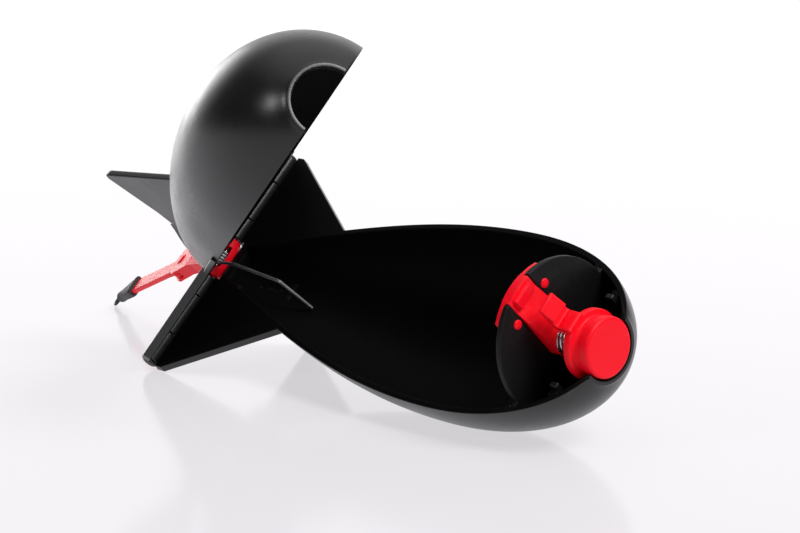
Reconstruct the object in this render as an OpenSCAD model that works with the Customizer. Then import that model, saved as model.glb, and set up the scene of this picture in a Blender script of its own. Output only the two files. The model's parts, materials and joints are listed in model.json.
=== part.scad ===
// Bait rocket that opens on impact: two hinged shells, an impact trigger in the nose
// and a swinging tail arm for the line.
//
// Every sub-part is drawn in the rocket's own frame: hinge line on Y through the origin,
// nose towards +X, and the closed parting plane at z = 0. placed() then lays the whole
// rocket down as it rests: rolled onto two of its fins and its belly, open.

/* [Body] */
// Radius of the body at its tail end
tail_r = 6.8; // [5:0.1:9]
// Radius of the body at its widest station
wide_r = 30.4; // [26:0.1:34]
// Distance from the hinge line to the widest station
wide_x = 116; // [100:1:125]
// Distance from the hinge line to the point where the nose curve would close
nose_x = 169.5; // [160:0.5:180]
// Fullness of the nose curve: 2 is an ellipse, more is blunter
nose_power = 2.2; // [2:0.05:2.6]
// Thickness of the moulded walls
wall = 1.8; // [1.2:0.1:2.2]
// Radius of the hole in the nose
nose_hole_r = 8.9; // [8.6:0.1:9.5]

/* [Fins] */
// Distance from the axis to the corner of a side fin
fin_span = 41; // [36:0.5:46]
// Thickness of one shell's half of a side fin
fin_t = 2.8; // [2:0.1:2.9]
// Distance from the axis to the tip of a dorsal fin
dorsal_span = 43.9; // [38:0.1:48]
// Thickness of a dorsal fin
dorsal_t = 2.2; // [1.6:0.1:3]

/* [Hinge] */
// Radius of the hinge knuckles
knuckle_r = 3; // [2.6:0.1:3.2]
// Radius of the hinge pin
pin_r = 1.25; // [1:0.05:1.5]
// Angle to which the shells spring open
open_angle = 35.8; // [20:0.1:40]

/* [Trigger] */
// Radius of the trigger's front cap
cap_r = 8.5; // [7.5:0.1:8.6]
// Distance from the hinge line to the front of the trigger cap
cap_x = 168.2; // [167:0.1:169]
// Radius of the bulkhead above the parting plane
bulkhead_r = 22; // [20:0.1:22.4]
// Front face of the bulkhead
bulkhead_x = 149.4; // [148:0.1:150]

/* [Tail arm] */
// Angle by which the hub and arm hang below the rocket's axis
arm_droop = 23.5; // [0:0.1:40]
// Angle by which the arm lies to one side
arm_yaw = 4.6; // [-10:0.1:10]
// Length of the red strap, from its pivot to its end
strap_length = 50.5; // [40:0.5:60]

/* [Hidden] */

$fn = 96;
fine = 32;              // facets of small round pieces
eps = 0.02;             // overlap that joins two shapes of one moulding
black = [0.03, 0.03, 0.035];
red = [0.86, 0.02, 0.09];
steel = [0.62, 0.63, 0.65];

// Body curve: a sine rise from the tail to the widest station, then a superellipse
tail_x = 3;
tail_power = 1.1;
tail_steps = 16;
nose_steps = 18;
nose_len = nose_x - wide_x;
lip_w = 1.4;            // raised lip round the nose hole
lip_h = 0.5;
rim_gap = 0.1;          // each rim stands this far back from the parting plane

// Hinge stations along Y, from the middle outwards, and their end clearance
hub_slot = 7.15;
knuckle_ys = [7.4, 15, 29.6, 39.9];
knuckle_gap = 0.15;
knuckle_clear = 0.35;
pin_run = 0.06;         // radial clearance of what turns on the pin
cap_flare_r = 2.4;      // radius of the pin's end caps
hub_cut_r = 5.3;

// Fin stations along X
fin_corner_x = 5.8;
fin_root = [44.6, 18.2];
dorsal_root = [51, 20];
rail_x = [40, 95];      // rail along the upper shell's rim
rail_h = 0.7;

// Nose mechanism
bulkhead_t = 1.8;
slot_hw = 4.9;          // half width of the bulkhead's slot
band_r = 21.6;
stem_r = 2;
pad_x = 153;            // flat pad at the foot of the cradle's sloping face
pad_top = 4.9;
boss_r = 3.3;
boss_x = 155;
clip_x = [145.15, 145.95];  // the clip stops against the cradle's back face
flange_r = 9.8;
flange_x = [160.6, 163];
spring_r = 4.1;
spring_wire = 0.42;
spring_rings = 5;
spring_seat = 1.6;      // depth of the ring that the trigger spring sits in
washer_t = 0.42;
hook_hw = 3.1;

// Opening spring
coil_r = 2.5;
wire_r = 0.55;
coil_rings = 4;
coil_pitch = 1.16;
wire_taper = 0.012;      // each stretch of a leg is a little thinner than the last
leg_y = 2.9;
leg_bend = [12.7, 3.7];
lower_leg = [[31, -0.6], [35.6, -13.3]];
upper_leg = [[24, 9.6]];
leg_room = 4;           // half width of the notch that the legs pass
leg_notch = [2.6, 8.8]; // from and to along X
leg_notch_h = 4.2;

// Hub and arm, in the hub's own straight-back frame
hub_hw = 6.9;
hub_end_r = 2.85;
hub_mid_r = 4.7;
hub_slot_hw = 3.75;
pivot = [-27.7, 2.5];   // the arm's pivot, behind and above the hinge line
fork_r = 6.2;
strap_w = 5.6;
strap_t = 1.7;
pivot_r = 1.4;
boot_droop = 4.6;
boot_l = 15.5;
eye_r = 1.6;
eye_out = 2.6;
eye_t = 1.1;

// Resting attitude: the rocket lies on a side fin's corner, a dorsal fin's tip and its belly
rest_roll = atan2(dorsal_span - fin_t, fin_span - dorsal_t / 2);
rest_h = fin_span * sin(rest_roll) + fin_t * cos(rest_roll);
rest_pitch = asin((rest_h - wide_r) / (wide_x - fin_corner_x));
rest_x = -38.75;        // puts the origin under the middle of the resting rocket's box
rest_y = 26.6;
rest_lift = 0.07;       // the belly's lowest point is a little past its widest station

function tail_curve(x, r0, r1) =
    r0 + (r1 - r0) * pow(sin(90 * (x - tail_x) / (wide_x - tail_x)), tail_power);
function nose_pt(t, r1, len) =
    [r1 * pow(cos(t), 2 / nose_power), wide_x + len * pow(sin(t), 2 / nose_power)];
function body_pts(inset, t_end) = concat(
    [for (i = [0 : tail_steps - 1]) let (x = tail_x + (wide_x - tail_x) * i / tail_steps)
        [tail_curve(x, tail_r - inset, wide_r - inset), x]],
    [for (i = [0 : nose_steps]) nose_pt(t_end * i / nose_steps, wide_r - inset, nose_len - inset)]);
// Angle of the nose curve at which its radius has come down to r
function nose_end(inset, r) = acos(pow(r / (wide_r - inset), nose_power / 2));

outer = body_pts(0, nose_end(0, nose_hole_r + lip_w));
inner = body_pts(wall, nose_end(wall, nose_hole_r));
lip_x = outer[len(outer) - 1][1];
function belly_section(inset) = concat([[0, tail_x]], body_pts(inset, 0), [[0, wide_x]]);
solid_section = concat([[0, tail_x]], outer, [[0, lip_x]]);

// Turns a section about the X axis; side is 1 for the upper half, -1 for the lower, 0 for both
module about_x(points, side = 0)
    rotate([0, 90, 0]) rotate([0, 0, side == 1 ? 90 : -90])
        rotate_extrude(angle = side == 0 ? 360 : 180) polygon(points);
module along_y(y0, y1, r) translate([0, y0, 0]) rotate([-90, 0, 0]) cylinder(h = y1 - y0, r = r);
module disc_x(x0, x1, r) translate([x0, 0, 0]) rotate([0, 90, 0]) cylinder(h = x1 - x0, r = r);
module ring_y(y, r, wire) translate([0, y, 0]) rotate([90, 0, 0])
    rotate_extrude() translate([r, 0]) circle(r = wire, $fn = 24);
module box(x, y, z) translate([x[0], y[0], z[0]]) cube([x[1] - x[0], y[1] - y[0], z[1] - z[0]]);
module plate_y(points, hw) translate([0, hw, 0]) rotate([90, 0, 0])
    linear_extrude(2 * hw) polygon(points);
module rod(a, b, r) {
    v = b - a;
    translate(a) rotate([0, acos(v[2] / norm(v)), atan2(v[1], v[0])])
        cylinder(h = norm(v), r = r, $fn = 24);
}

rest_z = rest_h * cos(rest_pitch) + fin_corner_x * sin(rest_pitch) + rest_lift;
module placed() translate([rest_x, rest_y, rest_z])
    rotate([0, rest_pitch, 0]) rotate([rest_roll, 0, 0]) children();
module opened() rotate([0, -open_angle, 0]) children();
module hub_frame() rotate([0, -arm_droop, 0]) children();
module arm_frame() hub_frame() translate([pivot[0], 0, pivot[1]]) rotate([0, 0, arm_yaw]) children();
module boot_frame() arm_frame() translate([-strap_length + 1.5, 0, 0])
    rotate([0, -boot_droop, 0]) children();

// One shell's halves of the side fins, which lie in the parting plane; side as in about_x
module side_fins(side) for (m = [0, 1]) mirror([0, m, 0])
    translate([0, 0, side == 1 ? rim_gap : -fin_t]) linear_extrude(fin_t - rim_gap)
        polygon([[0, hub_slot + 1], [0, knuckle_ys[3]], [2, fin_span], [fin_corner_x, fin_span],
            fin_root, [fin_root[0], 8], [8, 8]]);
module dorsal_fin(side) plate_y([[3.5, side * 5], [3.5, side * 19], [5, side * 24],
    [5.2, side * (dorsal_span - 1.2)], [6.4, side * dorsal_span], [8, side * (dorsal_span - 0.6)],
    [dorsal_root[0], side * dorsal_root[1]], [dorsal_root[0] - 6, side * 14]], dorsal_t / 2);
// Blend between the dorsal fin's root and the narrow tail
module tail_gusset(side) scale([1, 1, side]) hull() {
    translate([2.5, 0, 0]) rotate([90, 0, 90]) linear_extrude(0.6)
        polygon([[-6.4, rim_gap], [-5.6, 6], [-4.1, 11.7], [-1.9, 16.6], [-1.1, 19],
            [1.1, 19], [1.9, 16.6], [4.1, 11.7], [5.6, 6], [6.4, rim_gap]]);
    translate([22, 0, 0]) rotate([90, 0, 90]) linear_extrude(0.6)
        polygon([[-1.1, 9], [-1.1, 14], [1.1, 14], [1.1, 9]]);
}
// Knuckles of one shell: list holds pairs of indices into knuckle_ys
module knuckles(list, side) for (k = list) for (m = [0, 1]) mirror([0, m, 0]) {
    y0 = knuckle_ys[k] + knuckle_gap;
    y1 = knuckle_ys[k + 1] - (k == 2 ? 0 : knuckle_gap);
    along_y(y0, y1, knuckle_r);
    box([0, 4], [y0, y1], side == 1 ? [rim_gap, fin_t] : [-fin_t, -rim_gap]);
}
module knuckle_room(list) for (k = list) for (m = [0, 1]) mirror([0, m, 0])
    along_y(knuckle_ys[k] - knuckle_gap, knuckle_ys[k + 1] + (k == 2 ? 3 : knuckle_gap),
        knuckle_r + knuckle_clear);
module cavity(side) difference() {
    about_x(concat([[0, tail_x + 1]], inner, [[0, inner[len(inner) - 1][1]]]), side);
    along_y(-30, 30, hub_cut_r + 1.6);
}

module shell(side, own, other, bore) difference() {
    union() {
        difference() {
            union() {
                translate([0, 0, side * rim_gap]) about_x(solid_section, side);
                about_x([[nose_hole_r - 1, lip_x - 1], [nose_hole_r + lip_w, lip_x - 1],
                    [nose_hole_r + lip_w, lip_x + lip_h], [nose_hole_r - 1, lip_x + lip_h]], side);
                side_fins(side);
                dorsal_fin(side);
                tail_gusset(side);
            }
            cavity(side);
            disc_x(lip_x - 8, lip_x + 8, nose_hole_r);
            knuckle_room(other);
            along_y(-hub_slot, hub_slot, hub_cut_r);
            box([-20, 0], [-hub_slot, hub_slot], [-20, 20]);
        }
        knuckles(own, side);
    }
    along_y(-60, 60, bore);
    // Room for the pin's caps, and in the upper shell for the spring's legs
    for (m = [0, 1]) mirror([0, m, 0]) along_y(knuckle_ys[3], fin_span + 4, cap_flare_r + 0.3);
    box(leg_notch, [-leg_room, leg_room], [0, leg_notch_h]);
    box([nose_x - 20, nose_x + 5], [-40, 40], side == 1 ? [-1, rim_gap] : [-rim_gap, 1]);
}

module lower_shell() color(black) placed() {
    difference() {
        union() {
            shell(-1, [1], [0, 2], pin_r);
            // Rib behind the bulkhead
            intersection() {
                difference() {
                    disc_x(bulkhead_x - bulkhead_t - 1.6, bulkhead_x - bulkhead_t, 25);
                    disc_x(bulkhead_x - 8, bulkhead_x, bulkhead_r - 0.4);
                }
                translate([0, 0, -rim_gap]) about_x(solid_section, -1);
            }
            // Pegs that line the two shells up
            for (s = [-1, 1]) scale([1, s, 1]) {
                box([157.4, 160], [14, 17.4], [-4, -rim_gap]);
                box([157.4, 160], [14, 15.4], [-rim_gap - eps, 1.2]);
            }
        }
        disc_x(bulkhead_x - bulkhead_t, bulkhead_x, bulkhead_r + 1.3);
    }
}

module upper_shell() color(black) placed() opened() {
    shell(1, [0, 2], [1], pin_r + pin_run);
    // Catch that the trigger's hook holds down
    intersection() {
        union() {
            plate_y([[158.5, 11.4], [161.7, 11.4], [161.7, 17.5], [160.3, 17.5], [160.3, 12.5],
                [158.5, 12.5]], hook_hw);
            box([159.4, 162.4], [-1, 1], [12.4, 17.5]);
        }
        about_x(solid_section, 1);
    }
    // Rail that stiffens the rim ahead of each side fin
    intersection() {
        difference() {
            about_x(belly_section(-rail_h), 1);
            about_x(belly_section(wall / 2), 1);
        }
        box(rail_x, [-wide_r - rail_h, wide_r + rail_h], [rim_gap, wall]);
    }
}

module slot_outline(hw, top) {
    circle(r = hw);
    translate([-hw, 0]) square([2 * hw, top]);
}
// Draws its children's YZ outline between two stations of X
module across_x(x0, x1) translate([x0, 0, 0]) rotate([90, 0, 90]) linear_extrude(x1 - x0) children();

module bulkhead() color(black) placed() difference() {
    union() {
        disc_x(bulkhead_x - bulkhead_t, bulkhead_x, bulkhead_r);
        intersection() {
            disc_x(bulkhead_x - bulkhead_t, bulkhead_x, bulkhead_r + 1.3);
            box([140, 160], [-40, 40], [-40, -rim_gap]);
        }
    }
    across_x(bulkhead_x - 5, bulkhead_x + 5) slot_outline(slot_hw, 40);
    for (s = [-1, 1]) translate([bulkhead_x - 5, s * 7, 15]) rotate([0, 90, 0])
        cylinder(h = 10, r = 1.02, $fn = fine);
}

module latch_cradle() color(red) placed() {
    back = bulkhead_x - bulkhead_t;
    difference() {
        union() {
            // Bed in the bulkhead's slot, whose face slopes out to a pad, and the trigger's guide
            intersection() {
                across_x(back - 1.6, pad_x) slot_outline(slot_hw - 0.1, 30);
                disc_x(back - 1.6, pad_x, band_r);
                plate_y([[back - 2, -9], [pad_x, -9], [pad_x, pad_top], [bulkhead_x - 0.4, 17],
                    [bulkhead_x - 0.4, 30], [back - 2, 30]], slot_hw);
            }
            disc_x(back - 1.6, boss_x, boss_r);
            box([bulkhead_x - 1, bulkhead_x + 0.9], [-3.4, 3.4], [17, 20.4]);
            // Band behind the bulkhead that carries the rivets
            intersection() {
                disc_x(back - 1.6, back - 0.1, band_r);
                box([back - 4, back], [-10.4, 10.4], [11.5, 30]);
            }
        }
        disc_x(back - 10, boss_x + 10, stem_r + pin_run);
        for (s = [-1, 1]) translate([back - 5, s * 7, 15]) rotate([0, 90, 0])
            cylinder(h = 10, r = 1.02, $fn = fine);
    }
}

module cradle_rivets() color(red) placed() for (s = [-1, 1]) translate([0, s * 7, 15]) {
    disc_x(bulkhead_x - 4.1, bulkhead_x, 1, $fn = fine);
    translate([bulkhead_x, 0, 0]) rotate([0, 90, 0]) cylinder(h = 0.6, r1 = 1.4, r2 = 0.9, $fn = fine);
    disc_x(bulkhead_x - 4.1, bulkhead_x - bulkhead_t - 1.62, 1.5, $fn = fine);
}

module nose_button() color(red) placed() difference() {
    union() {
        about_x([[0, flange_x[0]], [flange_r, flange_x[0]], [flange_r, flange_x[1]], [8, flange_x[1] + 0.4],
            [8, 164.8], [cap_r, 165.2], [cap_r, cap_x - 0.7], [cap_r - 0.7, cap_x], [0, cap_x]]);
        plate_y([[162.9, 8.6], [162.9, 10.6], [158.6, 10.9], [157.9, 12.6], [159.4, 13.1], [157.3, 17.9],
            [156.3, 17.9], [156.3, 10.5], [157.5, 9], [160.7, 8.6]], hook_hw);
    }
    // Blind hole that the stem is pressed into, and the recess round it
    disc_x(flange_x[0] - 1, 166, stem_r);
    difference() {
        disc_x(flange_x[0] - 1, flange_x[0] + spring_seat, spring_r + 1.3);
        disc_x(flange_x[0] - 2, flange_x[0] + 2, spring_r - 1.2);
    }
}
module trigger_stem() color(steel) placed() difference() {
    disc_x(clip_x[0] - 1, 166, stem_r);
    difference() {
        disc_x(clip_x[0] - 0.04, clip_x[1] + 0.03, 3);
        disc_x(clip_x[0] - 1, clip_x[1] + 1, 1.5);
    }
}
module stem_clip() color(steel) placed() difference() {
    disc_x(clip_x[0], clip_x[1], 3.6);
    disc_x(clip_x[0] - 1, clip_x[1] + 1, 1.55);
    box([clip_x[0] - 1, clip_x[1] + 1], [-1.3, 1.3], [-5, 0]);
}
module spring_washer() color(steel) placed() difference() {
    disc_x(pad_x + 0.02, pad_x + washer_t, slot_hw - 0.15);
    disc_x(pad_x - 1, pad_x + 1, boss_r + 0.1);
}
module nose_spring() color(steel) placed() {
    x0 = pad_x + washer_t + spring_wire + 0.02;
    x1 = flange_x[0] + spring_seat - spring_wire - 0.02;
    for (i = [0 : spring_rings - 1]) translate([x0 + (x1 - x0) * i / (spring_rings - 1), 0, 0])
        rotate([0, 90, 0]) rotate_extrude() translate([spring_r, 0]) circle(r = spring_wire, $fn = 24);
}

module hinge_pin() color(steel) placed() along_y(-knuckle_ys[3] - 0.4, knuckle_ys[3] + 0.4, pin_r);
module pin_caps() color(steel) placed() for (m = [0, 1]) mirror([0, m, 0]) difference() {
    translate([0, knuckle_ys[3] + 0.15, 0]) rotate([-90, 0, 0]) cylinder(h = 0.9, r1 = cap_flare_r, r2 = 1.7);
    along_y(30, knuckle_ys[3] + 0.4, pin_r);
}

// Spring coil on the pin, as a stack of close rings
module opening_spring_coil() color(steel) placed()
    for (i = [0 : coil_rings - 1]) ring_y((i - (coil_rings - 1) / 2) * coil_pitch, coil_r, wire_r);
// One leg: off the top of the coil to a bend, and on to the shell's inner wall
module spring_leg(y, route) {
    a = atan2(leg_bend[1], leg_bend[0]) + acos(coil_r / norm(leg_bend));
    pts = [for (p = concat([coil_r * [cos(a), sin(a)], leg_bend], route)) [p[0], y, p[1]]];
    for (i = [1 : len(pts) - 1]) rod(pts[i - 1], pts[i], wire_r - i * wire_taper);
}
module opening_spring_lower_leg() color(steel) placed() spring_leg(-leg_y, lower_leg);
module opening_spring_upper_leg() color(steel) placed() opened() spring_leg(leg_y, upper_leg);

module tail_hub() color(red) placed() hub_frame() difference() {
    union() {
        rotate([-90, 0, 0]) rotate_extrude() polygon(concat([[0, -hub_hw]],
            [for (i = [-8 : 8]) [hub_end_r + (hub_mid_r - hub_end_r) * cos(90 * i / 8), hub_hw * i / 8]],
            [[0, hub_hw]]));
        plate_y([[-2, -2.4], [0, 2.4], [-18, pivot[1] + 2.1], [pivot[0], pivot[1] + 2.1],
            [pivot[0], pivot[1] - 2.1], [-18, pivot[1] - 2.1]], 4);
        translate([pivot[0], 0, pivot[1] - 2.1]) cylinder(h = 4.2, r = fork_r);
    }
    along_y(-20, 20, pin_r + pin_run);
    along_y(-hub_slot_hw, hub_slot_hw, coil_r + wire_r + 0.4);
    // Window on top for the spring's legs
    plate_y([[0, 0], for (a = [-4 : 23 : 134]) 9 * [cos(a), sin(a)]], hub_slot_hw);
    // Slot of the fork that takes the arm's head
    translate([pivot[0], 0, pivot[1]]) {
        translate([0, 0, -1]) cylinder(h = 2, r = fork_r + 0.4);
        box([-20, 0], [-20, 20], [-1, 1]);
        translate([0, 0, -10]) cylinder(h = 20, r = pivot_r);
    }
}
module arm_pivot_pin() color(steel) placed() hub_frame() translate([pivot[0], 0, pivot[1]]) {
    translate([0, 0, -2.1]) cylinder(h = 4.2, r = pivot_r);
    translate([0, 0, 2.1]) cylinder(h = 0.5, r1 = 2.1, r2 = 1.5);
    translate([0, 0, -2.6]) cylinder(h = 0.5, r1 = 1.5, r2 = 2.1);
}
module tail_arm() color(red) placed() arm_frame() difference() {
    union() {
        translate([0, 0, -strap_t / 2]) cylinder(h = strap_t, r = fork_r - 0.5);
        box([-strap_length, 0], [-strap_w / 2, strap_w / 2], [-strap_t / 2, strap_t / 2]);
    }
    translate([0, 0, -5]) cylinder(h = 10, r = pivot_r + pin_run);
}
module arm_boot() color(black) placed() difference() {
    boot_frame() difference() {
        hull() {
            box([-1.5, 3], [-3.5, 3.5], [-1.75, 1.75]);
            translate([-boot_l, 0, 0]) rotate([0, 90, 0]) cylinder(h = 3, r = 1.9, $fn = fine);
        }
        translate([-boot_l - 1, 0, 0]) rotate([0, 90, 0]) cylinder(h = 7.1, r = 1.3);
    }
    arm_frame() box([-strap_length, 0], [-strap_w / 2, strap_w / 2], [-strap_t / 2, strap_t / 2]);
}
module swivel_barrel() color(steel) placed() boot_frame() difference() {
    translate([-boot_l - 0.8, 0, 0]) rotate([0, 90, 0]) cylinder(h = 6.6, r = 1.3);
    translate([-boot_l - 1, 0, 0]) rotate([0, 90, 0]) cylinder(h = 5, r = 0.7 + pin_run);
}
module line_eye() color(black) placed() boot_frame() {
    translate([-boot_l - 1.1, 0, 0]) rotate([0, 90, 0]) cylinder(h = 4.4, r = 0.7);
    translate([-boot_l - 1 - eye_out, 0, -eye_t / 2]) difference() {
        cylinder(h = eye_t, r = eye_out);
        translate([0, 0, -1]) cylinder(h = 5, r = eye_r);
    }
}

lower_shell();
upper_shell();
bulkhead();
latch_cradle();
cradle_rivets();
nose_button();
trigger_stem();
stem_clip();
nose_spring();
spring_washer();
hinge_pin();
pin_caps();
opening_spring_coil();
opening_spring_lower_leg();
opening_spring_upper_leg();
tail_hub();
arm_pivot_pin();
tail_arm();
arm_boot();
swivel_barrel();
line_eye();
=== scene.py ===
"""Bait rocket with sprung shells, an impact trigger and a swinging tail arm, lying open.

Every piece is drawn in millimetres in one of the rocket's own frames, which are rebuilt from
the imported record's joints, and is then turned into the row frame in metres.
"""

import json
import math

import bpy
import bmesh
import numpy as np
from mathutils import Matrix, Vector


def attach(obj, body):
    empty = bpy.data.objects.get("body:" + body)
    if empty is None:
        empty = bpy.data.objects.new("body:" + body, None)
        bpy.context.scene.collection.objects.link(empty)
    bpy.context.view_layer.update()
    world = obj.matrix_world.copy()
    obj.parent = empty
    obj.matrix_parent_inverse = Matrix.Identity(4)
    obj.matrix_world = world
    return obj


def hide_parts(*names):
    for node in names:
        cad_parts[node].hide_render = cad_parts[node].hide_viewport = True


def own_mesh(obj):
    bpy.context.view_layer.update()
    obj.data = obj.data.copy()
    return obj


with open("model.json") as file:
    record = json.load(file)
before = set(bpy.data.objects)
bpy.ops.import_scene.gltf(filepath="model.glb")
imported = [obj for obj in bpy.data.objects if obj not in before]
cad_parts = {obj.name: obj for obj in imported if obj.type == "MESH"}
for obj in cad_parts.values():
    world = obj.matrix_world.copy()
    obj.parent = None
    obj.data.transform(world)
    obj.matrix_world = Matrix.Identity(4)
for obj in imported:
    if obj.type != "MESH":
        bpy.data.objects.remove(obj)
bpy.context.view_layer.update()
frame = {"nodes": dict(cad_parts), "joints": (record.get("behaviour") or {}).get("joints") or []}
MM = 0.001

# ---------------------------------------------------------------- frames from the joints

joints = {j["name"]: j for j in frame["joints"]}


def basis(x, y, z, origin):
    """A 4x4 frame from three axes and an origin in metres."""
    m = Matrix((x, y, z)).transposed().to_4x4()
    m.translation = origin
    return m


def unit(name):
    return Vector(joints[name]["axis"]).normalized()


# Device frame: hinge line along Y, nose along X, upper shell's side along Z
hinge_at = Vector(joints["shell_hinge"]["pos_m"])
nose_way = -unit("trigger_slide")
hinge_way = -unit("shell_hinge")
device = basis(nose_way, hinge_way, nose_way.cross(hinge_way), hinge_at)
open_angle = -math.radians(joints["shell_hinge"]["range_deg"][0])
opened = device @ Matrix.Rotation(-open_angle, 4, "Y")

# Hub frame hangs below the rocket's axis; the arm turns about its Z at the pivot
pivot_way = unit("arm_sway")
pivot_at = Vector(joints["arm_sway"]["pos_m"])
hub = basis(hinge_way.cross(pivot_way), hinge_way, pivot_way, hinge_at)
eye_way = unit("eye_spin")
arm_x = -(eye_way - eye_way.dot(pivot_way) * pivot_way).normalized()
arm_y = pivot_way.cross(arm_x)
arm = basis(arm_x, arm_y, pivot_way, pivot_at)
boot = basis(-eye_way, arm_y, (-eye_way).cross(arm_y), Vector(joints["eye_spin"]["pos_m"]))


def span(node, place=device):
    """Lowest and highest corner of a CAD node in one of the frames, in millimetres."""
    back = place.inverted()
    points = [back @ v.co / MM for v in frame["nodes"][node].data.vertices]
    return (Vector([min(p[i] for p in points) for i in range(3)]),
            Vector([max(p[i] for p in points) for i in range(3)]))


# ---------------------------------------------------------------- driving sizes, in millimetres

shell_lo, shell_hi = span("lower_shell")
button_hi = span("nose_button")[1]
plate_lo, plate_hi = span("bulkhead")

wall = 1.8
rim_gap = 0.1
tail_x, tail_r, tail_power = 3.0, 6.8, 1.1
wide_x, wide_r = 116.0, 30.4
nose_len, nose_power = 53.5, 2.2
hole_r, lip_w, lip_h = 8.9, 1.4, 0.5
fin_span = shell_hi.y
fin_t = 2.8
fin_corner_x = 5.8
fin_root = (44.6, 18.2)           # station and radius where the leading edge meets the body
dorsal_span = -shell_lo.z
dorsal_t = 2.2
dorsal_root = (51.0, 20.0)
hub_slot, hub_cut_r = 7.15, 5.3
knuckle_r, knuckle_clear = 3.0, 0.35
knuckle_ys = (7.4, 15.0, 29.6, 39.9)   # ends of the three knuckles on one side
knuckle_gap = 0.15
pin_r = 1.25
rail_x, rail_h = (40.0, 95.0), 0.7
leg_room, leg_notch, leg_notch_h = 4.0, (2.6, 8.8), 4.2
bulkhead_back, bulkhead_x = plate_lo.x, plate_hi.x
bulkhead_r, groove_depth = 22.0, 1.3
cradle_back = bulkhead_back - 1.6
cap_x, flange_r = button_hi.x, button_hi.y
guide_x = span("latch_cradle")[1].x
hook_hw = 3.1
stem_r = 2.0

SHELL_TURNS = 72      # steps round half a shell
ROUND_STEPS = 3       # steps in each rounded edge
SHARP_DEG = 34        # edges steeper than this stay crisp
WIRE_SHARP_DEG = 60   # the same on a wire, whose few sides meet at more
FAR = 20              # a cutter's reach past anything at the tail
ON_AXIS = 0.01        # radius that closes a solid of revolution at its axis
SAME_POINT = 1e-5     # points nearer than this are one
SLIVER = 1e-4         # so are the ends of a cut's shorter edges


# ---------------------------------------------------------------- outlines

def arc(centre, r, a0, a1, steps):
    """Points of an arc, angles in degrees, both ends included."""
    turns = [math.radians(a0 + (a1 - a0) * i / steps) for i in range(steps + 1)]
    return [(centre[0] + r * math.cos(t), centre[1] + r * math.sin(t)) for t in turns]


def area(points):
    return sum(p[0] * q[1] - q[0] * p[1] for p, q in zip(points, points[1:] + points[:1])) / 2


def rounded(points, radii, steps=5):
    """A closed outline with its corners rounded; radii is one radius or one for each corner."""
    if not hasattr(radii, "__len__"):
        radii = [radii] * len(points)
    made = []
    for i, (p, r) in enumerate(zip(points, radii)):
        p = Vector(p)
        a = Vector(points[i - 1]) - p
        b = Vector(points[(i + 1) % len(points)]) - p
        half = a.angle(b) / 2
        if r <= 0 or half > math.radians(88):
            made.append(tuple(p))
            continue
        a.normalize()
        b.normalize()
        reach = r / math.tan(half)
        start, end = p + a * reach, p + b * reach
        centre = p + (a + b).normalized() * r / math.sin(half)
        t0 = math.atan2(start.y - centre.y, start.x - centre.x)
        turn = math.atan2(end.y - centre.y, end.x - centre.x) - t0
        turn = (turn + math.pi) % (2 * math.pi) - math.pi
        made += [(centre.x + r * math.cos(t0 + turn * k / steps),
                  centre.y + r * math.sin(t0 + turn * k / steps)) for k in range(steps + 1)]
    return made


def inset(points, d):
    """A closed outline moved inwards by d, or outwards for a negative d."""
    if d == 0:
        return list(points)
    side = 1 if area(points) > 0 else -1
    made = []
    for i, p in enumerate(points):
        a = (Vector(p) - Vector(points[i - 1])).normalized()
        b = (Vector(points[(i + 1) % len(points)]) - Vector(p)).normalized()
        na, nb = Vector((-a.y, a.x)) * side, Vector((-b.y, b.x)) * side
        q = Vector(p) + (na + nb) * d / max(0.3, 1 + na.dot(nb))
        made.append((q.x, q.y))
    return made


# ---------------------------------------------------------------- meshes as (points, faces)

def loft(rings, closed=False):
    """Quads between rings of equal length; an open loft's first and last ring are capped."""
    n = len(rings[0])
    points = [tuple(p) for ring in rings for p in ring]
    faces = []
    count = len(rings)
    for k in range(count if closed else count - 1):
        a, b = k * n, (k + 1) % count * n
        faces += [(a + i, a + (i + 1) % n, b + (i + 1) % n, b + i) for i in range(n)]
    if not closed:
        faces += [tuple(range(n))[::-1], tuple(range((count - 1) * n, count * n))]
    return points, faces


def edge_steps(edge, steps=ROUND_STEPS):
    """(inset, depth) pairs of a rounded edge, from the face outwards."""
    turns = [math.pi / 2 * k / steps for k in range(steps + 1)]
    return [(edge * (1 - math.sin(t)), edge * (1 - math.cos(t))) for t in turns]


WAYS = {"xy": lambda a, b, h: (a, b, h),
        "xz": lambda a, b, h: (a, h, b),
        "yz": lambda a, b, h: (h, a, b)}
SPIN = {"x": lambda u, r, t: (u, r * math.cos(t), r * math.sin(t)),
        "y": lambda u, r, t: (r * math.sin(t), u, r * math.cos(t)),
        "z": lambda u, r, t: (r * math.cos(t), r * math.sin(t), u)}


def plate(outline, lo, hi, edge=0.3, way="xy"):
    """An outline given thickness from lo to hi, with both faces' edges rounded."""
    levels = [(d, lo + t) for d, t in edge_steps(edge)]
    levels += [(d, hi - t) for d, t in reversed(edge_steps(edge))]
    place = WAYS[way]
    return loft([[place(a, b, h) for a, b in inset(outline, d)] for d, h in levels])


def lathe(profile, turns=64, about="x"):
    """A solid of revolution from (station, radius) points, its two ends capped flat."""
    steps = [2 * math.pi * i / turns for i in range(turns)]
    return loft([[SPIN[about](u, r, t) for t in steps] for u, r in profile])


def ring(profile, turns=64, about="x"):
    """A ring from a closed (station, radius) outline."""
    steps = [2 * math.pi * i / turns for i in range(turns)]
    return loft([[SPIN[about](u, r, t) for u, r in profile] for t in steps], closed=True)


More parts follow.
